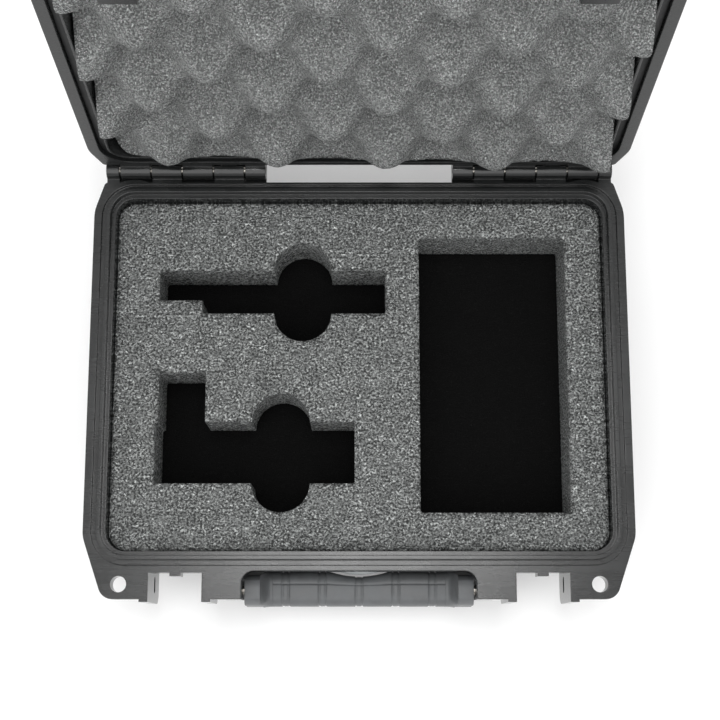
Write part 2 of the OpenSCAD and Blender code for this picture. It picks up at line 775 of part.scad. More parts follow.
// Side profile of a latch: an eye round the pivot, a front plate and the cheeks behind it
module latch_cheek_2d() {
  z = rim + latch_pivot_h;
  translate([-latch_pivot_y, z]) circle(latch_eye_r);
  polygon([
    [-latch_pivot_y + latch_eye_r, z], [-latch_pivot_y - latch_eye_r, z + 1], [-latch_front, z - 4],
    [-latch_front, rim - latch_drop + 1.5], [-latch_front + 1.5, rim - latch_drop],
    [-plate_back + 2.2, rim - latch_drop], [-plate_back + 2.2, rim - trigger_pivot_h - 5],
    [-trigger_pivot_y + 3, rim - trigger_pivot_h - 2.5], [-trigger_pivot_y + 3, rim + 2],
    [-latch_pivot_y + latch_eye_r, z - 6]
  ]);
}

module latch_body() {
  z = rim + latch_pivot_h;
  difference() {
    x_plate(-latch_half, latch_half) latch_cheek_2d();
    // room between the cheeks
    translate([-latch_half + cheek_t, -plate_back, rim - latch_drop - 1])
      cube([2 * (latch_half - cheek_t), 3 * latch_eye_r, latch_drop + latch_pivot_h - latch_eye_r - 1.5]);
    // window for the trigger, open below
    translate([-window_half, -latch_front - 1, rim - latch_drop - 1])
      cube([2 * window_half, latch_t + 2, window_top - rim + latch_drop + 1]);
    translate([0, -latch_pivot_y, z])
      x_bar(-latch_half - 1, latch_half + 1, latch_pin_d + 2 * running);
    translate([0, -trigger_pivot_y, rim - trigger_pivot_h])
      x_bar(-latch_half + 0.8, latch_half - 0.8, trigger_pin_d + 2 * running);
    // shallow finger grooves above the window
    for (i = [0:2])
      translate([0, -latch_front - 0.4, rim + 1 + 3.4 * i]) x_bar(-7, 7, 1.6);
  }
}

module latch(side) {
  color(plastic) open_lid() translate([side * notch_x, 0, 0]) latch_body();
}

module trigger_pin(side) {
  color(steel) open_lid() translate([side * notch_x, -trigger_pivot_y, rim - trigger_pivot_h])
    x_bar(-latch_half + 1, latch_half - 1, trigger_pin_d);
}

// Side profile of the trigger's hook in (Y, Z): it reaches under the catch bar
module hook_2d() {
  pivot = rim - trigger_pivot_h;
  translate([-trigger_pivot_y, pivot]) circle(trigger_eye_r);
  polygon([
    [-trigger_pivot_y - 1.2, pivot], [hook_face, pivot], [hook_face, hook_seat - 1],
    [-plate_back - 0.5, hook_seat - 1], [-plate_back - 0.5, pivot]
  ]);
}

// Nose of the hook: a seat under the catch bar, a low lip behind the bar, and a steep ramp
// below that rides over the bar as the lid closes
module nose_2d() {
  low = rim - latch_drop;
  lip = 0.8;
  ramp = 5;
  polygon([
    [-plate_back - 0.5, hook_seat], [hook_tip - 0.9, hook_seat], [hook_tip - 0.7, hook_seat + lip],
    [hook_tip - 0.2, hook_seat + lip], [hook_tip, hook_seat - 0.6], [hook_tip - ramp, low],
    [-plate_back - 0.5, low]
  ]);
}

// Finger pad of the trigger, flush in the window with a lip at its lower end
module pad_2d() {
  low = rim - latch_drop;
  high = rim - trigger_pivot_h + 0.8;
  polygon([
    [-plate_back - 0.4, high], [-latch_front + 0.8, high], [-latch_front, high - 0.8],
    [-latch_front - 0.2, low + 6], [-latch_front - 2, low + 1], [-latch_front - 2, low - 0.5],
    [-latch_front - 0.6, low - 1], [-plate_back - 0.4, low + 1.6]
  ]);
}

module trigger_lever() {
  difference() {
    union() {
      x_plate(-trigger_w / 2, trigger_w / 2) pad_2d();
      for (s = [left, right]) x_plate(s * 2.6, s * trigger_w / 2) hook_2d();
      x_plate(-trigger_w / 2, trigger_w / 2) nose_2d();
    }
    translate([0, -trigger_pivot_y, rim - trigger_pivot_h]) x_bar(-2.6, 2.6, spring_d + 0.8);
    translate([0, -trigger_pivot_y, rim - trigger_pivot_h])
      x_bar(-trigger_w, trigger_w, trigger_pin_d + 2 * running);
  }
}

module trigger(side) {
  color(plastic) open_lid() translate([side * notch_x, 0, 0]) trigger_lever();
}

// Spring coil round the trigger pin, with one leg against the latch's front plate
module trigger_spring(side) {
  color(steel) open_lid() translate([side * notch_x, -trigger_pivot_y, rim - trigger_pivot_h]) {
    difference() {
      x_bar(-2.2, 2.2, spring_d);
      x_bar(-3, 3, trigger_pin_d + 2 * running);
    }
    translate([1.6, trigger_pin_d / 2 + 0.5, 0]) rotate([12.5, 0, 0]) cylinder(h = spring_leg, d = 0.8);
  }
}

// ---------- handle ----------

handle_half = recess_w / 2 - handle_gap;
grip_z = rim - handle_pivot_h - handle_reach;
grip_y = -latch_front - 0.2 + grip_d / 2;

// Cross-section of the grip in (Y, Z), drawn in by inset
module grip_2d(inset = 0) {
  translate([grip_y, grip_z])
    rounded_rect(grip_d - 2 * inset, grip_h - 2 * inset, grip_r - inset);
}

module handle_core() color(plastic) difference() {
  arm_half = grip_d / 2 - grip_wall - 0.4;
  eye_r = handle_pin_d / 2 + handle_pin_wall;
  union() {
    for (s = [left, right])
      x_plate(s * (handle_half - handle_arm_w), s * handle_half) {
        translate([-handle_pivot_y, rim - handle_pivot_h]) circle(eye_r);
        polygon([
          [-handle_pivot_y - eye_r, rim - handle_pivot_h],
          [-handle_pivot_y + eye_r, rim - handle_pivot_h],
          [grip_y + arm_half, grip_z + arm_half], [grip_y + arm_half, grip_z - arm_half],
          [grip_y - arm_half, grip_z - arm_half], [grip_y - arm_half, grip_z + arm_half]
        ]);
      }
    x_plate(-handle_half + 1, handle_half - 1) grip_2d(grip_wall);
  }
  translate([0, -handle_pivot_y, rim - handle_pivot_h])
    x_bar(-handle_half - 1, handle_half + 1, handle_pin_d + 2 * running);
}

module handle_grip() color(rubber) difference() {
  x_plate(-handle_half + handle_arm_w + 0.2, handle_half - handle_arm_w - 0.2) grip_2d();
  x_plate(-handle_half - 1, handle_half + 1) grip_2d(grip_wall);
  for (i = [0:groove_n - 1])
    translate([(i - (groove_n - 1) / 2) * groove_pitch, 0, 0])
      x_plate(-groove_gap / 2, groove_gap / 2)
        difference() {
          grip_2d(-1);
          grip_2d(groove_cut);
        }
}

// ---------- pressure valve ----------

module at_valve(forward) {
  translate([0, -front_wall - forward, rim - valve_h]) rotate([90, 0, 0]) children();
}

// Half profile of the valve's crown, a shallow arc over the disc
module valve_crown_2d() {
  r = (pow(valve_d / 2, 2) + pow(valve_crown, 2)) / (2 * valve_crown);
  intersection() {
    translate([0, valve_crown + 0.1 - r]) circle(r, $fn = 2 * $fn);
    square([valve_d / 2, valve_crown + 0.2]);
  }
}

module valve_body() color(plastic) {
  seat = 1.2;
  disc = valve_out - valve_crown;
  difference() {
    union() {
      at_valve(seat) cylinder(h = disc - seat, d = valve_d);
      at_valve(disc - 0.1) rotate_extrude() valve_crown_2d();
      at_valve(-wall_t) cylinder(h = wall_t + seat + 0.1, d = valve_stem_d);
    }
    at_valve(-wall_t - 1) cylinder(h = wall_t + 1 + valve_out - 1.4, d = valve_stem_d - 4);
    for (a = [0:60:300])
      at_valve(valve_out - 2) rotate([0, 0, a]) translate([2.4, 0, 0]) cylinder(h = 3, d = 1.2);
  }
}

module valve_membrane() color(steel)
  at_valve(valve_out - 1.4 - 0.6) cylinder(h = 0.5, d = valve_stem_d - 4.2);

module valve_seal() color(seal_black)
  at_valve(0.45) difference() {
    cylinder(h = 0.7, d = valve_stem_d + 5);
    translate([0, 0, -1]) cylinder(h = 3, d = valve_stem_d + 0.4);
  }

base_shell();
base_foam();
base_foam_pad();
catch_bar(left);  // catch_bar_left
catch_bar(right);  // catch_bar_right
hinge_pin(left);  // hinge_pin_left
hinge_pin(right);  // hinge_pin_right
handle_pin(left);  // handle_pin_left
handle_pin(right);  // handle_pin_right
valve_body();
valve_membrane();
valve_seal();
lid_shell();
lid_foam();
gasket();
latch_pin(left);  // latch_pin_left
latch_pin(right);  // latch_pin_right
latch(left);  // latch_left
latch(right);  // latch_right
trigger_pin(left);  // trigger_pin_left
trigger_pin(right);  // trigger_pin_right
trigger_spring(left);  // trigger_spring_left
trigger_spring(right);  // trigger_spring_right
trigger(left);  // trigger_left
trigger(right);  // trigger_right
handle_core();
handle_grip();
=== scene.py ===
"""Looks of a sealed hard case with cut foam and a wavy lid lining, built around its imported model.

Lengths are in metres, in the model's own frame: X to the right, Y to the back, Z up.
"""

import json
import logging
import math
from dataclasses import dataclass, field
from enum import Enum
from functools import cache
from typing import Iterable, Sequence

import bmesh
import bpy
from mathutils import Matrix, Vector, noise
from mathutils.geometry import delaunay_2d_cdt
from mathutils.kdtree import KDTree


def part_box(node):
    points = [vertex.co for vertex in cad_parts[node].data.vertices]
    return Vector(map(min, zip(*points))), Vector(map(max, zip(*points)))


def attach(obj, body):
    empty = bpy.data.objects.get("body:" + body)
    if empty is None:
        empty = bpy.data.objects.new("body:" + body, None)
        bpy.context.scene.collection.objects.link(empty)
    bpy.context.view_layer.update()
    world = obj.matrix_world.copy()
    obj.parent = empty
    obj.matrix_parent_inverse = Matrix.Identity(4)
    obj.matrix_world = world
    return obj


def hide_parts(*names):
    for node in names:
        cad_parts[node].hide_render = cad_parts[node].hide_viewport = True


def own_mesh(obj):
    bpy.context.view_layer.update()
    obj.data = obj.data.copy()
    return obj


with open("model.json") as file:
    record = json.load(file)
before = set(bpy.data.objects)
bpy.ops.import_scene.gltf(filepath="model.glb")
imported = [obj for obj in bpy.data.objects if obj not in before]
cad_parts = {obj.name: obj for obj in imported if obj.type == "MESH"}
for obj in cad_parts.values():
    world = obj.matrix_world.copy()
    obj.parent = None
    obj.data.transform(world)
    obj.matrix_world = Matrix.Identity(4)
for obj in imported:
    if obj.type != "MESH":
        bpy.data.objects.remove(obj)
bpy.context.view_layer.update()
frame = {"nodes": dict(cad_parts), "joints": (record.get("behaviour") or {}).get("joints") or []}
LOG = logging.getLogger("case")
MM = 0.001
NOISE_SPREAD = (0.3, 0.7)
NOISE_SEED = 5

Colour = tuple[float, float, float]
Point = tuple[float, float]
Value = "Signal | float | Colour"


class Body(Enum):
    """The bodies of the case that carry pieces made here."""

    BASE = "base"
    LID = "lid"
    HANDLE = "handle"


# ---------- shader building ----------


class Signal:
    """An output socket of a shader tree, on which arithmetic adds Math nodes."""

    def __init__(self, paint: "Paint", socket: bpy.types.NodeSocket) -> None:
        """Wraps a socket.

        Args:
            paint: The paint whose tree holds the socket.
            socket: The output socket.
        """
        self.paint = paint
        self.socket = socket

    def _joined(self, operation: str, left: Value, right: Value) -> "Signal":
        """A Math node on two values.

        Args:
            operation: The Math node's operation.
            left: The first operand.
            right: The second operand.

        Returns:
            The node's result.
        """
        return self.paint.node("ShaderNodeMath", {"operation": operation}, {0: left, 1: right})

    def __add__(self, other: Value) -> "Signal":
        """Sum."""
        return self._joined("ADD", self, other)

    def __radd__(self, other: Value) -> "Signal":
        """Sum with this signal on the right."""
        return self._joined("ADD", other, self)

    def __sub__(self, other: Value) -> "Signal":
        """Difference."""
        return self._joined("SUBTRACT", self, other)

    def __rsub__(self, other: Value) -> "Signal":
        """Difference with this signal on the right."""
        return self._joined("SUBTRACT", other, self)

    def __mul__(self, other: Value) -> "Signal":
        """Product."""
        return self._joined("MULTIPLY", self, other)

    def __rmul__(self, other: Value) -> "Signal":
        """Product with this signal on the right."""
        return self._joined("MULTIPLY", other, self)

    def __abs__(self) -> "Signal":
        """Distance from zero."""
        return self._joined("ABSOLUTE", self, 0.0)


class Paint:
    """A material's node tree round one Principled shader."""

    def __init__(self, name: str, **sockets: float | Colour) -> None:
        """Starts a material.

        Args:
            name: The material's name.
            **sockets: Even values of the shader's sockets, with _ for each space in a name.
        """
        self.material = bpy.data.materials.new(f"{name}_look")
        self.material.use_nodes = True
        self.tree = self.material.node_tree
        self.tree.nodes.clear()
        self.shader = self.tree.nodes.new("ShaderNodeBsdfPrincipled")
        output = self.tree.nodes.new("ShaderNodeOutputMaterial")
        self.tree.links.new(self.shader.outputs[0], output.inputs[0])
        for key, value in sockets.items():
            self.feed(key.replace("_", " "), value)

    def _connect(self, socket: bpy.types.NodeSocket, value: Value) -> None:
        """Links a signal to a socket, or sets the socket's own value.

        Args:
            socket: The input socket.
            value: The signal, number or colour that it gets.
        """
        if isinstance(value, Signal):
            self.tree.links.new(value.socket, socket)
        elif isinstance(value, tuple) and socket.type == "RGBA":
            socket.default_value = (*value, 1.0)
        else:
            socket.default_value = value

    def feed(self, name: str, value: Value) -> None:
        """Gives the Principled shader's socket of that name a value or a signal."""
        self._connect(self.shader.inputs[name], value)

    def node(
        self,
        kind: str,
        settings: dict[str, object] | None = None,
        inputs: dict[int | str, Value] | None = None,
        output: int | str = 0,
    ) -> Signal:
        """Adds a node.

        Args:
            kind: The node's type.
            settings: Its properties, which are set first.
            inputs: Values or signals by socket number, name or identifier.
            output: The output socket's number or identifier.

        Returns:
            The chosen output.
        """
        made = self.tree.nodes.new(kind)
        for key, value in (settings or {}).items():
            setattr(made, key, value)
        for key, value in (inputs or {}).items():
            self._connect(self._socket(made.inputs, key), value)
        return Signal(self, self._socket(made.outputs, output))

    @staticmethod
    def _socket(sockets: Iterable[bpy.types.NodeSocket], key: int | str) -> bpy.types.NodeSocket:
        """Finds a socket.

        Args:
            sockets: A node's inputs or outputs.
            key: The socket's number, identifier or name.

        Returns:
            The socket.
        """
        if isinstance(key, int):
            return sockets[key]
        return next(s for s in sockets if key in (s.identifier, s.name))

    def place(self) -> Signal:
        """The surface's place in the model's frame."""
        return self.node("ShaderNodeTexCoord", output="Object")

    def stretched(self, scale: tuple[float, float, float]) -> Signal:
        """The surface's place, stretched along each axis."""
        return self.node("ShaderNodeMapping", {}, {"Vector": self.place(), "Scale": scale})

    def cloud(self, size: float, detail: float = 2.0, rough: float = 0.5, bend: float = 0.0,
              at: Signal | None = None) -> Signal:
        """Soft noise.

        Args:
            size: The size of its features in metres.
            detail: Octaves of finer noise.
            rough: Strength of the finer noise.
            bend: Distortion.
            at: Where it is read, or nowhere for the surface's own place.

        Returns:
            A value from 0 to 1.
        """
        return self.node(
            "ShaderNodeTexNoise", {"noise_dimensions": "3D"},
            {"Vector": at or self.place(), "Scale": 1 / size, "Detail": detail,
             "Roughness": rough, "Distortion": bend})

    def cells(self, size: float) -> Signal:
        """Distance to the nearest of scattered cell centres, size metres apart."""
        return self.node(
            "ShaderNodeTexVoronoi", {"feature": "F1"},
            {"Vector": self.place(), "Scale": 1 / size}, "Distance")

    def span(self, value: Signal, low: float, high: float, to_low: float = 0.0,
             to_high: float = 1.0) -> Signal:
        """A value carried from one range to another, held at the ends."""
        return self.node(
            "ShaderNodeMapRange", {"clamp": True},
            {"Value": value, "From Min": low, "From Max": high, "To Min": to_low, "To Max": to_high})

    def spread(self, noise_value: Signal, to_low: float = 0.0, to_high: float = 1.0) -> Signal:
        """A noise carried from its usual spread to a range, held at the ends."""
        return self.span(noise_value, *NOISE_SPREAD, to_low, to_high)

    def mix(self, factor: Value, first: Value, second: Value) -> Signal:
        """Two colours mixed."""
        return self.node(
            "ShaderNodeMix", {"data_type": "RGBA"},
            {"Factor_Float": factor, "A_Color": first, "B_Color": second}, "Result_Color")

    def upright(self) -> Signal:
        """Tells level faces from upright ones, as the case stands at rest.

        Returns:
            0 on level faces and 1 on upright ones.
        """
        normal = self.node("ShaderNodeTexCoord", output="Normal")
        level = self.node("ShaderNodeSeparateXYZ", {}, {0: normal}, "Z")
        return 1.0 - self.span(abs(level), 0.3, 0.75)

    def soft_edges(self, radius: float) -> Signal:
        """A normal that rounds the edges by radius."""
        return self.node("ShaderNodeBevel", {"samples": 6}, {"Radius": radius})

    def relief(self, height: Signal, depth: float, normal: Signal | None = None) -> Signal:
        """A normal bumped by a height of 0 to 1.

        Args:
            height: The height signal.
            depth: What a height of 1 stands for, in metres.
            normal: The normal it starts from, or the surface's own.

        Returns:
            The bumped normal.
        """
        inputs: dict[int | str, Value] = {"Height": height, "Distance": depth, "Strength": 1.0}
        if normal is not None:
            inputs["Normal"] = normal
        return self.node("ShaderNodeBump", {}, inputs)


# ---------- finishes ----------


def grey(level: float, red: float = 1.0, blue: float = 1.0) -> Colour:
    """A grey, warmed or cooled by the share of red and blue."""
    return (level * red, level, level * blue)


@dataclass(frozen=True)
class MouldedPlastic:
    """Satin moulded polypropylene with a fine grain, faint drag marks and softened edges."""

    name: str
    tone: float = 0.014
    darkest: float = 0.82
    lightest: float = 1.22
    roughness: float = 0.17
    side_roughness: float = 0.26
    gloss_spread: tuple[float, float] = (-0.04, 0.064)
    grain_size: float = 0.35 * MM
    grain_height: float = 0.02 * MM
    edge_radius: float = 0.55 * MM
    blotch_size: float = 18 * MM
    blotch_share: float = 0.6
    drag_length: float = 30 * MM
    drag_width: float = 0.9 * MM

    def material(self) -> bpy.types.Material:
        """Builds the material.

        Returns:
            The material.
        """
        paint = Paint(self.name, IOR=1.5)
        blotch = paint.cloud(self.blotch_size, 3.0, 0.6)
        along = paint.stretched((self.drag_width / self.drag_length, 1, 1))
        drag = paint.cloud(self.drag_width, 3.0, 0.65, at=along)
        shade = paint.spread(self.blotch_share * blotch + (1 - self.blotch_share) * drag)
        paint.feed("Base Color", paint.mix(
            shade, grey(self.tone * self.darkest, 0.96, 1.0),
            grey(self.tone * self.lightest, 0.94, 1.01)))
        gloss = paint.spread(0.5 * drag + 0.5 * blotch, *self.gloss_spread)
        level = self.roughness + (self.side_roughness - self.roughness) * paint.upright()
        paint.feed("Roughness", gloss + level)
        grain = paint.cloud(self.grain_size, 2.0, 0.6)
        paint.feed("Normal", paint.relief(grain, self.grain_height, paint.soft_edges(self.edge_radius)))
        return paint.material


@dataclass(frozen=True)
class CutFoam:
    """Open-cell foam: bright cell walls in short curved strands over dark pores."""

    name: str
    dark: Colour
    light: Colour
    strand_size: float = 1.7 * MM
    strand_width: float = 0.085
    strand_run: float = 1.7
    strand_height: float = 0.8
    pore_size: float = 1.0 * MM
    pore_height: float = 0.25
    patch_size: float = 9 * MM
    patch_height: float = 0.15
    sparkle: Colour = (0.5, 0.48, 0.5)
    sparkle_share: float = 0.0
    sparkle_core: float = 0.12
    sparkle_pitch: float = 1.3
    sparkle_strength: float = 0.75
    depth: float = 0.8 * MM

    def material(self) -> bpy.types.Material:
        """Builds the material.

        Returns:
            The material.
        """
        paint = Paint(self.name, Roughness=0.95, Specular_IOR_Level=0.15)
        strands = paint.cloud(
            self.strand_size, 2.0, 0.55, 1.2, at=paint.stretched((1 / self.strand_run, 1, 1)))
        ridge = 1.0 - paint.span(abs(strands - 0.5), 0.01, self.strand_width)
        pores = paint.span(paint.cloud(self.pore_size, 2.0, 0.6), 0.4, 0.6)
        patches = paint.cloud(self.patch_size, 2.0, 0.5)
        height = ridge * pores + self.pore_height * pores
        tone = height * self.strand_height + self.patch_height * (patches - 0.5)
        colour = paint.mix(paint.span(tone, 0.0, 1.0), self.dark, self.light)
        # Sparkles are painted glints: near-white spots in the colour where the cell walls catch the
        # light.
        if self.sparkle_share:
            spots = paint.cells(self.sparkle_pitch * self.pore_size)
            painted_glints = 1.0 - paint.span(spots, self.sparkle_core, self.sparkle_core + self.sparkle_share)
            colour = paint.mix(self.sparkle_strength * painted_glints, colour, self.sparkle)
        paint.feed("Base Color", colour)
        paint.feed("Normal", paint.relief(height, self.depth))
        return paint.material


@dataclass(frozen=True)
class SoftRubber:
    """Matt rubber with a fine skin."""

    name: str
    tone: float
    roughness: float
    darkest: float = 0.85
    lightest: float = 1.15
    smoothest: float = -0.06
    roughest: float = 0.08
    edge_radius: float = 0.3 * MM
    blotch_size: float = 7 * MM
    skin_size: float = 0.5 * MM
    skin_height: float = 0.03 * MM

    def material(self) -> bpy.types.Material:
        """Builds the material.

        Returns:
            The material.
        """
        paint = Paint(self.name, IOR=1.48)
        blotch = paint.cloud(self.blotch_size, 3.0, 0.55)
        paint.feed("Base Color", paint.mix(
            paint.spread(blotch), grey(self.tone * self.darkest, 0.97, 1.03),
            grey(self.tone * self.lightest, 0.95, 1.04)))
        paint.feed("Roughness", paint.spread(
            blotch, self.roughness + self.smoothest, self.roughness + self.roughest))
        skin = paint.cloud(self.skin_size, 3.0, 0.6)
        paint.feed("Normal", paint.relief(
            skin, self.skin_height, paint.soft_edges(self.edge_radius)))
        return paint.material


@dataclass(frozen=True)
class DrawnSteel:
    """Drawn steel with fine marks along its length and a warm cast."""

    name: str
    colour: Colour = (0.56, 0.53, 0.48)
    roughness: float = 0.3
    smoothest: float = -0.08
    roughest: float = 0.14
    mark_width: float = 0.4 * MM
    mark_stretch: float = 0.03
    mark_height: float = 0.01 * MM
    stain_size: float = 4 * MM
    stain_tone: float = 0.72

    def material(self) -> bpy.types.Material:
        """Builds the material.

        Returns:
            The material.
        """
        paint = Paint(self.name, Metallic=1.0)
        marks = paint.cloud(self.mark_width, 2.0, 0.6, at=paint.stretched((self.mark_stretch, 1, 1)))
        stain = paint.cloud(self.stain_size, 3.0, 0.6)
        dull = tuple(self.stain_tone * c for c in self.colour)
        paint.feed("Base Color", paint.mix(paint.span(stain, 0.35, 0.7), self.colour, dull))
        paint.feed("Roughness", paint.spread(
            marks, self.roughness + self.smoothest, self.roughness + self.roughest))
        paint.feed("Normal", paint.relief(marks, self.mark_height))
        return paint.material


@dataclass(frozen=True)
class VentFilm:
    """Pale fibrous film of the pressure valve."""

    name: str = "vent_film"
    colour: Colour = (0.62, 0.62, 0.6)
    gap_tone: float = 0.8
    fibre_width: float = 0.15 * MM
    fibre_height: float = 0.03 * MM

    def material(self) -> bpy.types.Material:
        """Builds the material.

        Returns:
            The material.
        """
        paint = Paint(self.name, Roughness=0.8)
        fibres = paint.cloud(self.fibre_width, 4.0, 0.7, 1.5)
        dull = tuple(self.gap_tone * c for c in self.colour)
        paint.feed("Base Color", paint.mix(fibres, self.colour, dull))
        paint.feed("Normal", paint.relief(fibres, self.fibre_height))
        return paint.material


class Finish(Enum):
    """The finishes of the case."""

    SHELL = MouldedPlastic("case_plastic", side_roughness=0.05)
    LID = MouldedPlastic("lid_plastic")
    LATCH = MouldedPlastic("latch_plastic", roughness=0.16, grain_size=0.25 * MM)
    # The valve's pale tone is a painted reflection of the white surroundings. It is far lighter than
    # the dark plastic of the case.
    VALVE_REFLECTION = MouldedPlastic("valve_painted_reflection", tone=0.4, roughness=0.25, edge_radius=0.3 * MM)
    INLAY = CutFoam("grey_foam", grey(0.038, 0.96, 0.98), grey(0.95, 0.97, 0.99))
    LINING = CutFoam("lid_foam_grey", grey(0.1, 0.97, 0.99), grey(0.9, 0.97, 0.99),
                     strand_size=1.3 * MM, strand_width=0.1, strand_run=1.0, pore_size=0.8 * MM,
                     sparkle=(1.0, 0.93, 0.97), sparkle_share=0.13)
    PAD = CutFoam("black_foam", grey(0.002), grey(0.012), pore_size=0.6 * MM)
    GRIP = SoftRubber("grip_rubber", 0.11, 0.42)
    SEAL = SoftRubber("seal_rubber", 0.012, 0.5)
    STEEL = DrawnSteel("steel")
    SPRING = DrawnSteel("spring_steel", (0.5, 0.5, 0.5), 0.25)
    FILM = VentFilm()

    @cache
    def material(self) -> bpy.types.Material:
        """The finish's material, built when it is first asked for."""
        return self.value.material()


# ---------- meshes ----------


class Piece:
    """A mesh made in code that rides on one body."""

    def __init__(self, name: str) -> None:
        """Starts an empty piece of that name."""
        self.name = name
        self.mesh = bmesh.new()

    def finish(self, body: Body, finish: Finish, *replaced: str,
               crease: float | None = None) -> bpy.types.Object:
        """Closes the mesh, puts it in the scene on its body and hides the nodes that it stands for.

        Args:
            body: The body it rides on.
            finish: Its finish.
            *replaced: The nodes that it stands for.
            crease: The angle in degrees from which an edge is sharp, or none.

        Returns:
            The object.
        """
        bmesh.ops.recalc_face_normals(self.mesh, faces=self.mesh.faces)
        data = bpy.data.meshes.new(self.name)
        self.mesh.to_mesh(data)
        self.mesh.free()
        data.shade_smooth()
        if crease is not None:
            data.set_sharp_from_angle(angle=math.radians(crease))
        data.materials.append(finish.material())
        made = bpy.data.objects.new(self.name, data)
        bpy.context.scene.collection.objects.link(made)
        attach(made, body.value)
        if replaced:
            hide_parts(*replaced)
        LOG.info("%s: %d faces", self.name, len(data.polygons))
        return made


def corner_arc(centre: Point, radius: float, start: float, step: float) -> list[Point]:
    """Draws a quarter circle, counter-clockwise.

    Args:
        centre: Its centre.
        radius: Its radius.
        start: The angle in degrees at which it starts.
        step: The wanted distance of its points.

    Returns:
        The points, both ends included.
    """
    count = max(2, round(radius * math.pi / 2 / step))
    turns = [math.radians(start + 90 * i / count) for i in range(count + 1)]
    return [(centre[0] + radius * math.cos(t), centre[1] + radius * math.sin(t)) for t in turns]


def sampled(corners: Sequence[Point], step: float) -> list[Point]:
    """Divides the long edges of a closed outline.

    Args:
        corners: The outline's points.
        step: The longest edge that is left.

    Returns:
        The outline with the points added.
    """
    points: list[Point] = []
    for (x0, y0), (x1, y1) in zip(corners, [*corners[1:], corners[0]]):
        count = max(1, math.ceil(math.dist((x0, y0), (x1, y1)) / step))
        points += [(x0 + (x1 - x0) * i / count, y0 + (y1 - y0) * i / count) for i in range(count)]
    return points


def rounded_box(low: Point, high: Point, radius: float, step: float) -> list[Point]:
    """Draws a rectangle with round corners.

    Args:
        low: Its lowest corner.
        high: Its highest corner.
        radius: The radius of its corners.
        step: The wanted distance of its points.

    Returns:
        The outline, counter-clockwise.
    """
    (x0, y0), (x1, y1) = low, high
    corners = [((x1 - radius, y1 - radius), 0), ((x0 + radius, y1 - radius), 90),
               ((x0 + radius, y0 + radius), 180), ((x1 - radius, y0 + radius), 270)]
    return sampled([p for c, a in corners for p in corner_arc(c, radius, a, step)], step)


def turned_open(point: Vector, angle: float, hinge: Vector) -> Vector:
    """A point of the closed lid, turned open about the hinge."""
    return Matrix.Rotation(angle, 3, "X") @ (point - hinge) + hinge


def joint_place(name: str) -> Vector:
    """A point on the axis of the joint of that name."""
    return Vector(next(joint for joint in frame["joints"] if joint["name"] == name)["pos_m"])


def point_tree(points: Sequence[Sequence[float]]) -> KDTree:
    """Makes a tree that finds the nearest of some points.

    Args:
        points: The points, with all three coordinates.

    Returns:
        The tree.
    """
    tree = KDTree(len(points))
    for number, point in enumerate(points):
        tree.insert(point, number)
    tree.balance()
    return tree


def loft(mesh: bmesh.types.BMesh, rings: Sequence[Sequence[bmesh.types.BMVert]]) -> None:
    """Joins closed rings of as many points each, and closes both ends.

    Args:
        mesh: The mesh that holds the points.
        rings: The rings, from one end to the other.
    """
    for near, far in zip(rings, rings[1:]):
        for n in range(len(near)):
            m = (n + 1) % len(near)
            mesh.faces.new((near[n], near[m], far[m], far[n]))
    mesh.faces.new(rings[0])
    mesh.faces.new(rings[-1])


# ---------- foam ----------


